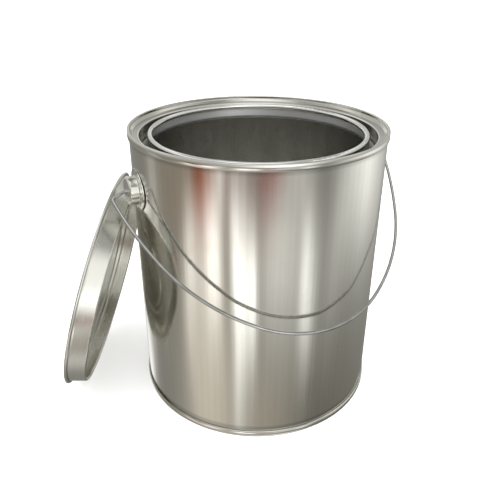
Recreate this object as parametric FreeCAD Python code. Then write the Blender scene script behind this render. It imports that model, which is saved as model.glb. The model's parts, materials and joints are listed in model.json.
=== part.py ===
import FreeCAD, Part
import math
import os

# Paint can of one US gallon: a tinplate can with a friction ring, two pressed ears, a wire bail
# and a plug lid that stands on the floor and leans against the can's side.
# Millimetres. Origin on the can's axis at the level it stands on, +Z up, ears on the X axis,
# the bail hangs towards -Y.

V = FreeCAD.Vector

# ---- driving dimensions -------------------------------------------------------------------
HEIGHT = 192.2            # over both double seams
BODY_R = 84.2             # outside of the rolled wall
SHEET = 0.32              # tinplate of the wall, the bottom end and the friction ring
PLY_GAP = 0.02            # between two plies of a double seam
SEAM_HEIGHT = 4.4         # of each double seam
COMPOUND = 0.15           # sealing compound packed into each seam

WELD_WIDTH = 1.2          # welded side seam, down the wall behind the right ear
WELD_PROUD = 0.18
WELD_TURN = 21.0          # the seam's place round the wall, from +X towards +Y

MOUTH_R = 69.3            # clear radius inside the rolled lip of the ring
LIP_DROP = 3.6            # top of the rolled lip below the top of the can
GROOVE_IN_R = 72.7        # walls of the groove that the lid's plug goes into
GROOVE_OUT_R = 77.8
GROOVE_FLOOR = 177.4
SHELF_DROP = 4.4          # shelf outside the groove, below the top of the can

BOTTOM_RISE = 5.6         # bottom panel above the floor

EAR_Z = 159.1             # height of the bail's hinge axis
EAR_SHEET = 0.6
EAR_FLANGE_R = 13.4
EAR_BEND_R = 130.0        # flange's bend, a little flatter than the wall behind it
EAR_DRUM_R = 8.9
EAR_STANDOFF = 0.15       # flange's inner face off the wall, bridged by the weld spots
EAR_REACH = 91.0          # outer face of the drum from the can's axis
WELD_SPOT_R = 1.3
WELD_SPOT_AT = 11.1       # weld spots above and below the hinge axis

WIRE_R = 1.1              # bail wire
HOLE_CLEARANCE = 0.05     # between the wire and the hole in each ear
BAIL_DIP = 37.7           # degrees that the bail hangs below level at rest
BAIL_SHIFT = 2.0          # the bail lies this far along its play in the ears
BAIL_DEPTH = 118.0        # hinge axis to the middle of the bow
BOW = ((76.6, 32.5), (124.2, 33.6), (235.0, 11.5))   # radius and turn, middle to side
ELBOW_AT = (103.3, 3.9)   # where bow and end leg would meet, from the bail's middle and axis
ELBOW_R = 3.0
LEG_BEND_AT = 94.6        # where the end leg turns into line with the hinge axis
LEG_BEND_R = 4.0
HEAD_R = 1.9              # upset head on each wire end, inside the ear
HEAD_FROM = 86.9
HEAD_TO = 87.9

LID_SHEET = 0.3
LID_HEIGHT = 13.3         # plug's lower rim to the top of the rolled edge
PLUG_TIP_R = 74.2         # middle of the plug's rounded lower rim
PLUG_TIP_ROUND = 1.2
PLUG_TOP_R = 77.5         # plug's outer wall just under the rolled edge
LID_EDGE_R = 79.7
LID_CURL_R = 1.05
LID_SHOULDER = 11.6       # level over the ring's lip, above the plug's rim
LID_PANEL = 9.2           # sunk middle panel
LID_PANEL_R = 67.6
LID_AT = (-95.4, 43.8)   # middle of the plug's rim, in plan
LID_TURN = 26.2           # degrees from the X axis that the lid faces
LID_LEAN = 15.9           # degrees from upright

# ---- worked out ---------------------------------------------------------------------------
PLY = SHEET + PLY_GAP
WALL_R = BODY_R - SHEET / 2            # middle of the sheet, in each ply of a seam
COVER_HOOK_R = WALL_R + PLY
BODY_HOOK_R = WALL_R + 2 * PLY
SEAM_R = WALL_R + 3 * PLY
CHUCK_R = WALL_R - PLY
SEAM_OUTER_R = SEAM_R + SHEET / 2


# ---- sheet metal outlines -----------------------------------------------------------------
def unit(a, b):
    length = math.hypot(b[0] - a[0], b[1] - a[1])
    return (b[0] - a[0]) / length, (b[1] - a[1]) / length


def centre_line(points):
    """Lines and arcs through (r, z, corner radius) points, as (kind, data) steps."""
    steps = []
    start = points[0][:2]
    for before, corner, after in zip(points, points[1:], points[2:]):
        d1 = unit(before, corner)
        d2 = unit(corner, after)
        cross = d1[0] * d2[1] - d1[1] * d2[0]
        turn = math.atan2(cross, d1[0] * d2[0] + d1[1] * d2[1])
        radius = corner[2]
        if radius == 0 or abs(turn) < 1e-6:
            steps.append(("line", start, corner[:2]))
            start = corner[:2]
            continue
        back = radius * math.tan(abs(turn) / 2)
        side = 1 if turn > 0 else -1
        p1 = (corner[0] - d1[0] * back, corner[1] - d1[1] * back)
        p2 = (corner[0] + d2[0] * back, corner[1] + d2[1] * back)
        middle = (p1[0] - side * d1[1] * radius, p1[1] + side * d1[0] * radius)
        if math.hypot(p1[0] - start[0], p1[1] - start[1]) > 1e-6:
            steps.append(("line", start, p1))
        steps.append(("arc", middle, p1, p2, turn, radius))
        start = p2
    steps.append(("line", start, points[-1][:2]))
    return steps


def side_edges(steps, offset):
    """The centre line moved sideways by offset, to its left where offset is positive."""
    edges = []
    for step in steps:
        if step[0] == "line":
            d = unit(step[1], step[2])
            a, b = [V(p[0] - d[1] * offset, 0, p[1] + d[0] * offset) for p in step[1:3]]
            edges.append(Part.makeLine(a, b))
            continue
        _, c, p1, p2, turn, radius = step
        scale = (radius - math.copysign(offset, turn * offset)) / radius
        first = math.atan2(p1[1] - c[1], p1[0] - c[0])
        spots = []
        for share in (0, 0.5, 1):
            angle = first + share * turn
            spots.append(V(c[0] + scale * radius * math.cos(angle), 0,
                           c[1] + scale * radius * math.sin(angle)))
        edges.append(Part.Arc(*spots).toShape())
    return edges


def sheet_face(points, thickness):
    """Cross-section of a bent sheet whose middle runs through the points."""
    steps = centre_line(points)
    left = side_edges(steps, thickness / 2)
    right = side_edges(steps, -thickness / 2)
    ends = [Part.makeLine(left[0].firstVertex().Point, right[0].firstVertex().Point),
            Part.makeLine(left[-1].lastVertex().Point, right[-1].lastVertex().Point)]
    return Part.Face(Part.Wire(Part.sortEdges(left + right + ends)[0]))


def turned(points, thickness):
    """A bent sheet spun about the Z axis."""
    return sheet_face(points, thickness).revolve(V(0, 0, 0), V(0, 0, 1), 360)


def flat_ring(inner, outer, low, high):
    ring = Part.makeCylinder(outer, high - low, V(0, 0, low))
    return ring.cut(Part.makeCylinder(inner, high - low, V(0, 0, low)))


# ---- the can ------------------------------------------------------------------------------
def seam_plies(edge, inward):
    """Plies of an end in a double seam, from its hook to the wall inside the can.
    edge is the seam's outer level, and inward is -1 at the top and 1 at the bottom."""
    def level(depth):
        return edge + inward * depth
    hook_tip = 1.1
    crown = SHEET / 2
    foot = SEAM_HEIGHT - SHEET / 2
    small = PLY / 2
    return [(COVER_HOOK_R, level(hook_tip), 0),
            (COVER_HOOK_R, level(foot), small),
            (SEAM_R, level(foot), small),
            (SEAM_R, level(crown), 0.45),
            (CHUCK_R, level(crown), 0.45)]


def body_shell():
    hook_tip = SEAM_HEIGHT - 0.8
    crown = SHEET + COMPOUND + 0.05 + SHEET / 2
    bend = PLY * 0.99
    wall = turned([(BODY_HOOK_R, hook_tip, 0),
                   (BODY_HOOK_R, crown, bend),
                   (WALL_R, crown, bend),
                   (WALL_R, HEIGHT - crown, bend),
                   (BODY_HOOK_R, HEIGHT - crown, bend),
                   (BODY_HOOK_R, HEIGHT - hook_tip, 0)], SHEET)
    low = SEAM_HEIGHT + 0.3
    tall = HEIGHT - 2 * low
    weld = flat_ring(BODY_R - SHEET / 2, BODY_R + WELD_PROUD, low, low + tall)
    strip = Part.makeBox(WELD_WIDTH, 4, tall, V(-WELD_WIDTH / 2, BODY_R - 2, low))
    strip.rotate(V(0, 0, 0), V(0, 0, 1), WELD_TURN - 90)
    return wall.fuse(weld.common(strip)).removeSplitter()


def seal_ring(edge, inward):
    half = 0.2
    levels = sorted((edge + inward * (SHEET + 0.04), edge + inward * (SHEET + 0.04 + COMPOUND)))
    return flat_ring(COVER_HOOK_R - half, COVER_HOOK_R + half, levels[0], levels[1])


def top_ring():
    roll = 1.5
    lip_top = HEIGHT - LIP_DROP - SHEET / 2
    in_wall = GROOVE_IN_R - SHEET / 2
    out_wall = GROOVE_OUT_R + SHEET / 2
    floor = GROOVE_FLOOR - SHEET / 2
    shelf = HEIGHT - SHELF_DROP - SHEET / 2
    mouth = MOUTH_R + SHEET / 2
    groove_round = (out_wall - in_wall) * 0.47
    return turned(seam_plies(HEIGHT, -1) + [
        (CHUCK_R - 0.05, HEIGHT - 2.2, 1.0),
        (82.2, HEIGHT - 4.0, 0.7),
        (out_wall, shelf, 0.7),
        (out_wall, floor, groove_round),
        (in_wall, floor, groove_round),
        (in_wall, lip_top, roll),
        (mouth, lip_top, roll),
        (mouth, lip_top - 3.2, roll),
        (mouth + 2.6, lip_top - 3.2, 0)], SHEET)


def bottom_end():
    panel = BOTTOM_RISE
    return turned(seam_plies(0, 1) + [
        (CHUCK_R - 0.05, 3.0, 1.0),
        (82.9, panel, 0.8),
        (75.0, panel, 1.5),
        (72.5, panel + 0.9, 1.5),
        (62.0, panel + 0.9, 1.5),
        (59.5, panel, 1.5),
        (0, panel, 0)], SHEET)


# ---- ears ---------------------------------------------------------------------------------
def ear(side):
    """Pressed cup with a gently bent flange, its hole on the hinge axis. side is -1 or 1 along X."""
    flange_x = BODY_R + EAR_STANDOFF + EAR_SHEET / 2
    face_x = EAR_REACH - EAR_SHEET / 2
    drum = EAR_DRUM_R - EAR_SHEET / 2
    hole = WIRE_R + HOLE_CLEARANCE
    cup = turned([(EAR_DRUM_R + 1.6, flange_x, 0), (drum, flange_x, 0.9),
                  (drum, face_x, 1.2), (hole, face_x, 0)], EAR_SHEET)
    bent = [Part.makeCylinder(radius, 40, V(-20, 0, flange_x - EAR_SHEET / 2 - EAR_BEND_R), V(1, 0, 0))
            for radius in (EAR_BEND_R, EAR_BEND_R + EAR_SHEET)]
    rim = [Part.makeCylinder(radius, 8, V(0, 0, flange_x - 4)) for radius in (drum + 1, EAR_FLANGE_R)]
    cup = cup.fuse(rim[1].cut(rim[0]).common(bent[1].cut(bent[0])))
    for spot in (-WELD_SPOT_AT, WELD_SPOT_AT):
        root = BODY_R - 0.05
        cup = cup.fuse(Part.makeCylinder(WELD_SPOT_R, flange_x - root, V(spot, 0, root)))
        dent = Part.makeSphere(2.6, V(spot, 0, flange_x + EAR_SHEET / 2 + 2.35))
        cup = cup.cut(dent)
    cup.rotate(V(0, 0, 0), V(0, 1, 0), 90 * side)
    cup.translate(V(0, 0, EAR_Z))
    return cup


# ---- bail ---------------------------------------------------------------------------------
def bow_arcs():
    """Arcs of one half of the bow, from its middle outwards, and the point it ends at."""
    u, v, heading = 0.0, BAIL_DEPTH, 0.0
    arcs = []
    for radius, turn in BOW:
        spots = []
        for share in (0, 0.5, 1):
            angle = math.radians(heading + share * turn)
            first = math.radians(heading)
            spots.append((u + radius * (math.sin(angle) - math.sin(first)),
                          v - radius * (math.cos(first) - math.cos(angle))))
        arcs.append(spots)
        u, v = spots[2]
        heading += turn
    return arcs, (u, v)


def half_bail(side):
    """Centre line of half the bail, from the middle of the bow to the wire's end."""
    def at(p):
        return V(side * p[0], p[1], 0)
    arcs, side_end = bow_arcs()
    edges = [Part.Arc(*[at(p) for p in spots]).toShape() for spots in arcs]
    leg = centre_line([side_end + (0,), ELBOW_AT + (ELBOW_R,),
                       (LEG_BEND_AT, 0, LEG_BEND_R), (HEAD_TO - 0.5, 0, 0)])
    for step in leg:
        if step[0] == "line":
            edges.append(Part.makeLine(at(step[1]), at(step[2])))
            continue
        _, c, p1, p2, turn, radius = step
        half = math.atan2(p1[1] - c[1], p1[0] - c[0]) + turn / 2
        middle = (c[0] + radius * math.cos(half), c[1] + radius * math.sin(half))
        edges.append(Part.Arc(at(p1), at(middle), at(p2)).toShape())
    return edges


def bail():
    halves = []
    for side in (-1, 1):
        path = Part.Wire(half_bail(side))
        circle = Part.Wire(Part.makeCircle(WIRE_R, V(0, BAIL_DEPTH, 0), V(1, 0, 0)))
        halves.append(path.makePipeShell([circle], True, False))
    wire = halves[0].fuse(halves[1])
    for side in (-1, 1):
        head = Part.makeCylinder(HEAD_R, HEAD_TO - HEAD_FROM, V(side * HEAD_FROM, 0, 0),
                                 V(side, 0, 0))
        wire = wire.fuse(head.makeFillet(0.3, head.Edges))
    wire = wire.removeSplitter()
    wire.rotate(V(0, 0, 0), V(1, 0, 0), 180 + BAIL_DIP)
    wire.translate(V(BAIL_SHIFT, 0, EAR_Z))
    return wire


# ---- lid ----------------------------------------------------------------------------------
def lid():
    """Plug lid, drawn upright with its rim on z = 0 and then stood against the can."""
    half = LID_SHEET / 2
    curl = LID_CURL_R - half
    edge = LID_EDGE_R - half
    top = LID_HEIGHT - half
    tip = PLUG_TIP_ROUND - half
    tip_in = PLUG_TIP_R - tip
    tip_out = PLUG_TIP_R + tip
    wall_top = PLUG_TOP_R - half
    plate = turned([
        (edge - 1.15, top - 2 * curl, 0),
        (edge, top - 2 * curl, curl),
        (edge, top, curl),
        (wall_top + 0.35, top, curl),
        (wall_top, LID_HEIGHT - 2.9, 1.2),
        (tip_out, tip, 0.8),
        (tip_out, half, tip * 0.98),
        (tip_in, half, tip * 0.98),
        (tip_in, LID_SHOULDER, 0.9),
        (LID_PANEL_R + 1.9, LID_SHOULDER, 1.0),
        (LID_PANEL_R, LID_PANEL, 1.2),
        (50.0, LID_PANEL, 1.5),
        (48.0, LID_PANEL + 0.8, 1.5),
        (41.0, LID_PANEL + 0.8, 1.5),
        (39.0, LID_PANEL, 1.5),
        (0, LID_PANEL, 0)], LID_SHEET)
    lean = math.radians(LID_LEAN)
    stands_at = ((LID_EDGE_R - LID_CURL_R) * math.cos(lean)
                 - (LID_HEIGHT - LID_CURL_R) * math.sin(lean) + LID_CURL_R)
    plate.rotate(V(0, 0, 0), V(0, 1, 0), -(90 - LID_LEAN))
    plate.rotate(V(0, 0, 0), V(0, 0, 1), -LID_TURN)
    plate.translate(V(LID_AT[0], LID_AT[1], stands_at))
    return plate


# ---- write --------------------------------------------------------------------------------
PIECES = {
    "body_shell": body_shell(),
    "bottom_end": bottom_end(),
    "top_ring": top_ring(),
    "top_seam_seal": seal_ring(HEIGHT, -1),
    "bottom_seam_seal": seal_ring(0, 1),
    "ear_left": ear(-1),
    "ear_right": ear(1),
    "bail": bail(),
    "lid": lid(),
}

os.makedirs("parts", exist_ok=True)
for name, shape in PIECES.items():
    solid = shape.Solids[0] if len(shape.Solids) == 1 else shape
    solid.exportStep("parts/" + name + ".step")
    box = solid.BoundBox
    print(name, "solids", len(shape.Solids), "valid", shape.isValid(),
          "volume %.0f" % shape.Volume,
          "box %.2f %.2f %.2f to %.2f %.2f %.2f"
          % (box.XMin, box.YMin, box.ZMin, box.XMax, box.YMax, box.ZMax))
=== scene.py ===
import json
import math

import bpy
from mathutils import Matrix, Vector


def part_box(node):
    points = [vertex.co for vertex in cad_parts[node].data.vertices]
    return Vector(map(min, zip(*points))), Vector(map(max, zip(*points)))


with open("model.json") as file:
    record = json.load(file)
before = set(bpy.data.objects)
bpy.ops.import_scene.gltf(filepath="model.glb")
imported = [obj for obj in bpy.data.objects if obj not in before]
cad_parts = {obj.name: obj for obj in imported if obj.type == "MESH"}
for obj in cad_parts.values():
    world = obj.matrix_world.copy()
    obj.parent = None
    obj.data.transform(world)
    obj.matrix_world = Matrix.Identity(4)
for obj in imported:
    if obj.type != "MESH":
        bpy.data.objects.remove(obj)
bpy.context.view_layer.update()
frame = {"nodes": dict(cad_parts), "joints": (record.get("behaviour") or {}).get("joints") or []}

NODES = frame["nodes"]

# Where the pieces sit, in metres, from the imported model's own boxes and joints.
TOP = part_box("top_ring")[1].z
RING_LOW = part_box("top_ring")[0].z
BOTTOM_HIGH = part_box("bottom_end")[1].z
WALL_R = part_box("body_shell")[1].x - 0.0007
SEAM = 0.0044
HINGE = next(j for j in frame["joints"] if j["name"] == "bail_swing")
SLIDE = next(j for j in frame["joints"] if j["name"] == "lid_lift_off")
LID_LOW, LID_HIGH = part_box("lid")
LID_CENTRE = (LID_LOW + LID_HIGH) / 2
LID_AXIS = Vector(SLIDE["axis"]).normalized()
CAN_BASE = Vector((0.0, 0.0, 0.0))
EARS_CENTRE = Vector((0.0, 0.0, HINGE["pos_m"][2]))
UP = Vector((0.0, 0.0, 1.0))
SIDE = Vector((1.0, 0.0, 0.0))
WELD_ANGLE = math.radians(21)
WELD = Vector((math.cos(WELD_ANGLE), math.sin(WELD_ANGLE), 0.0))

# The top ring's bands, in metres from the can's axis: where each starts, is full, fades and ends.
GROOVE = (0.0726, 0.0729, 0.0776, 0.0779)
SHELF_EDGE = (0.0779, 0.0781, 0.0785, 0.0788)
SHELF = (0.0786, 0.0789, 0.0821, 0.0824)
LIP = (0.0733, 0.0730)
MOUTH_WALL = (0.0732, 0.0731)
# The same bands' heights: the crests begin here, and the groove's painted shade fills up below the
# shelf.
CRESTS = (TOP - 0.0056, TOP - 0.0050)
GROOVE_SHADE_HEIGHTS = (TOP - 0.0052, TOP - 0.0066)
MOUTH_WALL_TOP = TOP - 0.0066

WHITE = (1.0, 1.0, 1.0)
WARM = (1.0, 0.87, 0.72)
RED = (1.0, -0.15, -0.15)
BROWN = (1.0, 0.75, 0.45)
STRAW = (1.0, -0.1, -0.9)
# The studio's soft panels: azimuth from +X towards +Y, elevation above the floor's level, half
# width and half height, all in degrees, then strength, and a colour where it isn't white.
# A strength below zero takes light away, and a colour below zero takes that colour away.
PANELS = (
    # In front of the can and to its left.
    (180, -29, 7, 7, 0.75),
    (-160, -29, 9, 6.5, 1.25),
    (-166, -42, 27, 14, 0.45, WARM),
    (-129, -31, 7.5, 8, 1.6),
    (-132, -43, 9, 8, 0.30),
    (-149, -19, 7, 7, 0.50),
    (-118.5, -32, 4.2, 6, 1.15),
    (-100, -28, 11, 7, 0.27),
    (-112, -43, 24, 9, 0.06, WARM),
    (-98, 0, 26, 12, 1.5),
    (-86, 24, 24, 15, 0.8),
    (-137, -70, 60, 12, 0.38),
    (175, -22, 40, 9, 0.03, STRAW),
    (-75, -67, 38, 9, 0.70),
    (-168, -21.5, 10, 5.5, 0.16, RED),
    (-136, -21.5, 34, 6.5, 0.05, RED),
    (-172, -20, 10, 7, -0.23),
    (-105, -20, 8, 5, 0.11, RED),
    (-108, -18, 12, 6, -0.27),
    (-103, -48, 25, 9, 0.10, BROWN),
    # To its right.
    (-71, -31, 7, 7, 0.9),
    (-88, -29, 24, 9, 0.36),
    (-82, -18, 10, 6, 0.15),
    (-54, -18, 13, 7, -0.14),
    (-8, -17, 32, 10, 0.95),
    (-42, -27, 14, 10, 0.17),
    (-45, -50, 45, 13, -0.12),
    (30, -55, 40, 14, -0.17),
    # Behind it.
    (98, -38, 13, 8, 0.9),
    (75, -28, 12, 12, 0.40),
    (140, -24, 8, 9, 0.30),
    (80, 3, 45, 8, 0.50),
    (87, 32, 15, 8, 0.40),
    # Above: a bright band all round, brighter in two places, under a ceiling with darker parts.
    (64, 66, 75, 22, -0.80),
    (0, 40, 400, 7, 0.55),
    (-32, 43, 14, 7, 0.30),
    (150, 24, 22, 10, 0.30),
    (-70, 49, 12, 8, -0.45),
    (-45, 66, 35, 11, -0.90),
    (-178, 60, 30, 9, -0.50),
)


class Graph:
    """Adds shader nodes to a tree and joins them up."""

    def __init__(self, tree):
        self.tree = tree
        tree.nodes.clear()

    def add(self, kind, **settings):
        node = self.tree.nodes.new(kind)
        for key, value in settings.items():
            setattr(node, key, value)
        return node

    def put(self, value, socket):
        if isinstance(value, bpy.types.NodeSocket):
            self.tree.links.new(value, socket)
        else:
            socket.default_value = value

    def math(self, operation, *values, clamp=False):
        node = self.add("ShaderNodeMath", operation=operation, use_clamp=clamp)
        for value, socket in zip(values, node.inputs):
            self.put(value, socket)
        return node.outputs[0]

    def vector(self, operation, *values):
        node = self.add("ShaderNodeVectorMath", operation=operation)
        for value, socket in zip(values, node.inputs):
            self.put(value, socket)
        return node.outputs["Value" if operation in ("DOT_PRODUCT", "LENGTH") else "Vector"]

    def place(self):
        """The point on the object, in metres in the CAD frame."""
        return self.add("ShaderNodeTexCoord").outputs["Object"]

    def split(self, vector):
        node = self.add("ShaderNodeSeparateXYZ")
        self.put(vector, node.inputs[0])
        return node.outputs

    def join(self, x, y, z):
        node = self.add("ShaderNodeCombineXYZ")
        for value, socket in zip((x, y, z), node.inputs):
            self.put(value, socket)
        return node.outputs[0]

    def stretch(self, vector, scale):
        return self.vector("MULTIPLY", vector, scale)

    def scale(self, vector, factor):
        node = self.add("ShaderNodeVectorMath", operation="SCALE")
        self.put(vector, node.inputs[0])
        self.put(factor, node.inputs["Scale"])
        return node.outputs[0]

    def noise(self, vector, scale=1.0, detail=2.0, roughness=0.5):
        node = self.add("ShaderNodeTexNoise")
        settings = {"Vector": vector, "Scale": scale, "Detail": detail, "Roughness": roughness}
        for name, value in settings.items():
            self.put(value, node.inputs[name])
        return node.outputs["Fac"]

    def cells(self, vector, scale):
        node = self.add("ShaderNodeTexVoronoi")
        self.put(vector, node.inputs["Vector"])
        self.put(scale, node.inputs["Scale"])
        return node.outputs["Distance"]

    def span(self, value, low, high, to_low=0.0, to_high=1.0, smooth=False):
        """value from low to high, carried over to to_low to to_high and held there."""
        kind = "SMOOTHSTEP" if smooth else "LINEAR"
        node = self.add("ShaderNodeMapRange", interpolation_type=kind)
        for socket, number in zip(node.inputs, (value, low, high, to_low, to_high)):
            self.put(number, socket)
        return node.outputs[0]

    def band(self, value, start, full, fade, end):
        """1 where value is between full and fade, falling to 0 at start and end."""
        return self.math("MULTIPLY", self.span(value, start, full), self.span(value, end, fade))

    def blend(self, amount, first, second):
        node = self.add("ShaderNodeMix", data_type="RGBA", blend_type="MIX")
        self.put(amount, node.inputs[0])
        self.put(first, node.inputs[6])
        self.put(second, node.inputs[7])
        return node.outputs[2]

    def total(self, *values):
        result = values[0]
        for value in values[1:]:
            result = self.math("ADD", result, value)
        return result

    def bump(self, height, distance, strength=1.0, normal=None):
        node = self.add("ShaderNodeBump")
        self.put(strength, node.inputs["Strength"])
        self.put(distance, node.inputs["Distance"])
        self.put(height, node.inputs["Height"])
        if normal is not None:
            self.put(normal, node.inputs["Normal"])
        return node.outputs[0]


def surface(name):
    """A new material with its graph and its Principled shader, joined to the output."""
    material = bpy.data.materials.new(name)
    material.use_nodes = True
    graph = Graph(material.node_tree)
    shader = graph.add("ShaderNodeBsdfPrincipled")
    output = graph.add("ShaderNodeOutputMaterial")
    graph.put(shader.outputs[0], output.inputs[0])
    return material, graph, shader.inputs


def grey(level, warmth=0.0):
    """A grey that warmth turns a little towards straw."""
    return (level, level * (1 - warmth / 8), level * (1 - warmth), 1.0)


def wall_tin():
    """Bright rolled tinplate: mill lines, soft sheet waves, handling marks and the weld's tint."""
    material, g, shader = surface("rolled_tinplate")
    place = g.place()
    x, y, z = g.split(place)
    lines = g.noise(g.stretch(place, (2600.0, 2600.0, 9.0)), detail=3.0, roughness=0.6)
    bands = g.noise(g.stretch(place, (240.0, 240.0, 5.0)), detail=2.0)
    waves = g.noise(g.stretch(place, (26.0, 26.0, 4.0)), detail=1.0)
    clouds = g.noise(place, scale=38.0, detail=4.0, roughness=0.6)
    marks = g.noise(g.stretch(place, (700.0, 700.0, 160.0)), detail=5.0, roughness=0.75)
    scuffs = g.span(marks, 0.66, 0.76)
    specks = g.span(g.cells(place, 34.0), 0.008, 0.013, 1.0, 0.0)

    # The wall is painted darker just below the top seam and just above the bottom seam: painted
    # shade where the seams shade the wall.
    under_top_seam = TOP - SEAM - 0.0005
    painted_seam_shade = g.math(
        "MAXIMUM",
        g.span(z, BOTTOM_HIGH, BOTTOM_HIGH + 0.0025, 1.0, 0.0, smooth=True),
        g.span(z, under_top_seam - 0.0030, under_top_seam, 0.0, 1.0, smooth=True),
    )
    # The weld is a dull grey line with a straw-brown tint on each side, and fainter inside the can.
    inside = g.span(g.vector("LENGTH", g.join(x, y, 0.0)), WALL_R - 0.0001, WALL_R, 1.0, 0.0)
    beside = g.math("ABSOLUTE", g.vector("DOT_PRODUCT", place, UP.cross(WELD)))
    weld_half = g.math("GREATER_THAN", g.vector("DOT_PRODUCT", place, WELD), 0.0)
    shown = g.math("MULTIPLY", weld_half, g.span(inside, 0.0, 1.0, 1.0, 0.35))
    bead = g.math("MULTIPLY", g.span(beside, 0.0005, 0.0009, 1.0, 0.0), shown)
    tint = g.math("MULTIPLY", g.span(beside, 0.001, 0.006, 1.0, 0.0, smooth=True), shown)

    colour = g.blend(g.span(lines, 0.3, 0.7), grey(0.70, 0.09), grey(0.73, 0.08))
    colour = g.blend(g.span(clouds, 0.4, 0.75, 0.0, 0.30), colour, grey(0.64, 0.12))
    # The inside of the can is given a paler tin: painted light that lifts the shade inside the can.
    colour = g.blend(g.math("MULTIPLY", inside, 0.9), colour, grey(0.83, 0.012))
    colour = g.blend(g.math("MULTIPLY", tint, 0.55), colour, (0.42, 0.30, 0.17, 1.0))
    colour = g.blend(g.math("MULTIPLY", bead, 0.7), colour, grey(0.30, 0.02))
    # Painted shade next to the two seams.
    colour = g.blend(g.math("MULTIPLY", painted_seam_shade, 0.5), colour, grey(0.33, 0.06))
    colour = g.blend(g.math("MULTIPLY", specks, 0.75), colour, grey(0.10))
    g.put(colour, shader["Base Color"])

    rough = g.total(
        g.span(lines, 0.3, 0.7, 0.085, 0.105),
        g.span(bands, 0.35, 0.7, 0.0, 0.03),
        g.span(clouds, 0.45, 0.8, 0.0, 0.06),
        g.math("MULTIPLY", scuffs, 0.16),
        g.math("MULTIPLY", bead, 0.25),
    )
    g.put(rough, shader["Roughness"])
    shader["Metallic"].default_value = 1.0

    # The inside keeps only a trace of the sheet's waves and lines.
    depth = g.span(inside, 0.0, 1.0, 1.0, 0.15)
    normal = g.bump(waves, 0.0022, depth)
    normal = g.bump(bands, 0.00004, depth, normal)
    normal = g.bump(lines, 0.0000014, depth, normal)
    g.put(normal, shader["Normal"])
    return material


def seam_swell(g, along, away, middle):
    """The height of a rolled seam's outer face, which swells a little between its two edges."""
    across = g.math("DIVIDE", g.math("SUBTRACT", along, middle), SEAM / 2)
    across = g.math("MINIMUM", g.math("ABSOLUTE", across), 1.0)
    swell = g.math("SUBTRACT", 1.0, g.math("POWER", across, 2.0))
    return g.math("MULTIPLY", swell, g.span(away, WALL_R, WALL_R + 0.0008))


def ring_painted_light_and_finish(g, along, away, colour, rough, normal):
    """Adds the top ring's painted shade and painted highlights, and the mouth wall's drawn finish.
    """
    on_ring = g.math("GREATER_THAN", along, RING_LOW)
    high = g.span(along, *CRESTS)

    # The lid's groove is painted dark below the shelf: painted shade for the deep, shaded groove.
    groove = g.math("MULTIPLY", g.band(away, *GROOVE), on_ring)
    painted_groove_shade = g.math("MULTIPLY", groove, g.span(along, *GROOVE_SHADE_HEIGHTS))
    colour = g.blend(g.math("MULTIPLY", painted_groove_shade, 0.8), colour, grey(0.22, 0.05))

    # The lip and the shelf's edge are painted bright, a painted highlight, and the rest of the
    # shelf is painted darker, a painted shade.
    painted_shelf_shade = g.math("MULTIPLY", g.band(away, *SHELF), high)
    colour = g.blend(g.math("MULTIPLY", painted_shelf_shade, 0.6), colour, grey(0.50, 0.05))
    lip = g.math("MULTIPLY", g.span(away, *LIP), high)
    painted_highlight = g.math("MULTIPLY", g.math("MAXIMUM", lip, g.band(away, *SHELF_EDGE)), high)
    colour = g.blend(painted_highlight, colour, grey(0.92, 0.02))

    # The mouth's own wall is dull from drawing, and widens a little upwards.
    wall = g.math("MULTIPLY", on_ring, g.math("LESS_THAN", along, MOUTH_WALL_TOP))
    drawn = g.math("MULTIPLY", g.span(away, *MOUTH_WALL), wall)
    colour = g.blend(g.math("MULTIPLY", drawn, 0.8), colour, (0.44, 0.45, 0.46, 1.0))
    rough = g.total(rough, g.math("MULTIPLY", drawn, 0.3))
    flare = g.math("MULTIPLY", g.math("MULTIPLY", along, -0.24), drawn)
    return colour, rough, g.bump(flare, 1.0, normal=normal)


def pressed_tin(name, centre, axis, level=0.73, rough_low=0.09, seams=()):
    """Bright pressed tinplate: fine die rings round the part's own axis, and rubbed edges.
    seams are the middles along the axis of the can's rolled seams."""
    material, g, shader = surface(name)
    place = g.place()
    offset = g.vector("SUBTRACT", place, centre)
    along = g.vector("DOT_PRODUCT", offset, axis)
    away = g.vector("LENGTH", g.vector("SUBTRACT", offset, g.scale(tuple(axis), along)))
    section = g.join(g.math("MULTIPLY", away, 2400.0), g.math("MULTIPLY", along, 2400.0), 0.0)
    rings = g.noise(section, detail=3.0)
    clouds = g.noise(place, scale=45.0, detail=4.0, roughness=0.6)
    waves = g.noise(place, scale=22.0, detail=1.0)
    marks = g.noise(place, scale=420.0, detail=6.0, roughness=0.75)
    scuffs = g.span(marks, 0.62, 0.74)
    worn = g.span(g.add("ShaderNodeNewGeometry").outputs["Pointiness"], 0.50, 0.54)

    colour = g.blend(g.span(rings, 0.3, 0.7), grey(level - 0.03, 0.09), grey(level + 0.02, 0.08))
    colour = g.blend(g.span(clouds, 0.42, 0.75, 0.0, 0.35), colour, grey(level - 0.12, 0.12))
    colour = g.blend(g.math("MULTIPLY", worn, 0.35), colour, grey(0.88, 0.01))
    rough = g.total(
        g.span(rings, 0.3, 0.7, rough_low, rough_low + 0.06),
        g.span(clouds, 0.45, 0.8, 0.0, 0.07),
        g.math("MULTIPLY", scuffs, 0.15),
    )
    normal = g.bump(waves, 0.0010)
    normal = g.bump(rings, 0.0000030, normal=normal)
    for middle in seams:
        normal = g.bump(seam_swell(g, along, away, middle), 0.0004, normal=normal)
    if seams:
        colour, rough, normal = ring_painted_light_and_finish(g, along, away, colour, rough, normal)
    g.put(colour, shader["Base Color"])
    g.put(rough, shader["Roughness"])
    g.put(normal, shader["Normal"])
    shader["Metallic"].default_value = 1.0
    return material


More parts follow.
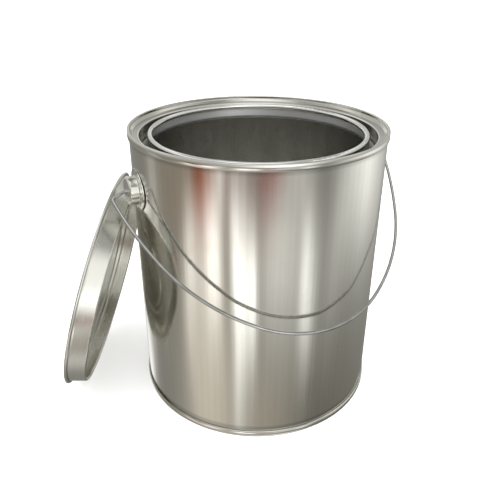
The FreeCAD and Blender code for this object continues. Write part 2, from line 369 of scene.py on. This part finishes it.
def drawn_wire():
    """Bright drawn steel wire with a thin zinc coat: fine grain, a grey bloom and small nicks."""
    material, g, shader = surface("drawn_wire")
    place = g.place()
    bloom = g.noise(place, scale=160.0, detail=4.0, roughness=0.6)
    grain = g.noise(place, scale=1500.0, detail=3.0)
    nicks = g.span(g.noise(place, scale=620.0, detail=5.0, roughness=0.8), 0.62, 0.72)
    colour = g.blend(g.span(bloom, 0.35, 0.7), grey(0.42, 0.02), grey(0.54, 0.015))
    colour = g.blend(g.math("MULTIPLY", nicks, 0.5), colour, grey(0.30, 0.03))
    g.put(colour, shader["Base Color"])
    rough = g.total(g.span(bloom, 0.3, 0.7, 0.10, 0.17), g.math("MULTIPLY", nicks, 0.2))
    g.put(rough, shader["Roughness"])
    shader["Metallic"].default_value = 1.0
    g.put(g.bump(g.total(grain, nicks), 0.000008), shader["Normal"])
    return material


def compound():
    """Cured sealing compound: dull, slightly uneven."""
    material, g, shader = surface("sealing_compound")
    place = g.place()
    lumps = g.noise(place, scale=500.0, detail=4.0)
    g.put(g.blend(lumps, (0.42, 0.37, 0.29, 1.0), (0.55, 0.50, 0.41, 1.0)), shader["Base Color"])
    g.put(g.span(lumps, 0.3, 0.7, 0.55, 0.75), shader["Roughness"])
    g.put(g.bump(lumps, 0.00004), shader["Normal"])
    return material


def coat(material, *names):
    for name in names:
        mesh = NODES[name].data
        mesh.materials.clear()
        mesh.materials.append(material)
        for face in mesh.polygons:
            face.material_index = 0


def floor():
    """A wide pale floor, left out of reflections: the tin mirrors the studio below it too."""
    mesh = bpy.data.meshes.new("floor")
    half = 5.0
    corners = [(-half, -half, 0), (half, -half, 0), (half, half, 0), (-half, half, 0)]
    mesh.from_pydata(corners, [], [(0, 1, 2, 3)])
    plane = bpy.data.objects.new("floor", mesh)
    bpy.context.scene.collection.objects.link(plane)
    material, g, shader = surface("pale_floor")
    cloud = g.noise(g.place(), scale=3.0, detail=2.0)
    g.put(g.blend(cloud, (0.90, 0.90, 0.90, 1.0), (0.92, 0.92, 0.92, 1.0)), shader["Base Color"])
    shader["Roughness"].default_value = 0.9
    shader["Specular IOR Level"].default_value = 0.0
    mesh.materials.append(material)
    plane.visible_glossy = False
    plane.visible_shadow = False


def panel(g, direction, azimuth, elevation, width, height, strength, colour=WHITE):
    """The light of one soft panel, fading out at its edges."""
    across, above = direction
    turn = g.math("WRAP", g.math("SUBTRACT", across, azimuth), 180.0, -180.0)
    rise = g.math("SUBTRACT", above, elevation)
    near = g.total(
        g.math("POWER", g.math("DIVIDE", turn, width), 2.0),
        g.math("POWER", g.math("DIVIDE", rise, height), 2.0),
    )
    fade = g.math("EXPONENT", g.math("MULTIPLY", near, -1.0))
    return g.scale(colour, g.math("MULTIPLY", fade, strength))


def studio():
    """The soft light round the can: a pale room, brighter above, with soft panels."""
    world = bpy.data.worlds.new("studio")
    bpy.context.scene.world = world
    world.use_nodes = True
    g = Graph(world.node_tree)
    x, y, z = g.split(g.add("ShaderNodeTexCoord").outputs["Generated"])
    degrees = math.degrees(1.0)
    across = g.math("MULTIPLY", g.math("ARCTAN2", y, x), degrees)
    above = g.math("MULTIPLY", g.math("ARCSINE", z), degrees)
    low = (0.264, 0.258, 0.236, 1.0)
    middle = (0.50, 0.50, 0.48, 1.0)
    high = (1.5, 1.5, 1.5, 1.0)
    light = g.blend(g.span(above, -16.0, 4.0, smooth=True), low, middle)
    light = g.blend(g.span(above, 42.0, 78.0, smooth=True), light, high)
    for settings in PANELS:
        light = g.vector("ADD", light, panel(g, (across, above), *settings))

    seen = g.add("ShaderNodeLightPath").outputs["Is Camera Ray"]
    back = g.add("ShaderNodeBackground")
    g.put(g.blend(seen, light, (*WHITE, 1.0)), back.inputs["Color"])
    output = g.add("ShaderNodeOutputWorld")
    g.put(back.outputs[0], output.inputs[0])


def lamps():
    """Two very wide soft lights from above: a key that casts a faint shadow, and a fill."""
    for name, energy, shadow in (("key", 0.9, True), ("fill", 3.4, False)):
        lamp = bpy.data.lights.new(name, "SUN")
        lamp.energy = energy
        lamp.angle = math.radians(120)
        lamp.use_shadow = shadow
        light = bpy.data.objects.new(name, lamp)
        bpy.context.scene.collection.objects.link(light)
        light.location = (0, 0, 2)
        light.visible_glossy = False


def camera():
    """The photograph's viewing angle. yaw turns right from +Y, pitch looks down, roll tilts."""
    data = bpy.data.cameras.new("camera")
    data.sensor_fit = "HORIZONTAL"
    data.sensor_width = 36.0
    data.lens = 39.472
    data.clip_start = 0.02
    data.clip_end = 50.0
    yaw, pitch, roll = (math.radians(a) for a in (26.195, 26.420, 0.358))
    right = Vector((math.cos(yaw), -math.sin(yaw), 0.0))
    ahead = Vector((
        math.sin(yaw) * math.cos(pitch),
        math.cos(yaw) * math.cos(pitch),
        -math.sin(pitch),
    ))
    up = right.cross(ahead)
    turned_right = right * math.cos(roll) + up * math.sin(roll)
    turned_up = up * math.cos(roll) - right * math.sin(roll)
    pose = Matrix((turned_right, turned_up, -ahead)).transposed().to_4x4()
    pose.translation = Vector((-0.16219, -0.31832, 0.28417))
    view = bpy.data.objects.new("camera", data)
    bpy.context.scene.collection.objects.link(view)
    view.matrix_world = pose
    bpy.context.scene.camera = view


SEAMS = (SEAM / 2, TOP - SEAM / 2)
coat(wall_tin(), "body_shell")
coat(pressed_tin("pressed_ring", CAN_BASE, UP, seams=SEAMS), "top_ring", "bottom_end")
coat(pressed_tin("pressed_lid", LID_CENTRE, LID_AXIS, 0.73, 0.19), "lid")
coat(pressed_tin("pressed_ears", EARS_CENTRE, SIDE, 0.70, 0.14), "ear_left", "ear_right")
coat(drawn_wire(), "bail")
coat(compound(), "top_seam_seal", "bottom_seam_seal")

floor()
studio()
lamps()
camera()
bpy.context.scene.view_settings.view_transform = "Standard"
bpy.context.scene.cycles.max_bounces = 24
bpy.context.scene.cycles.glossy_bounces = 24
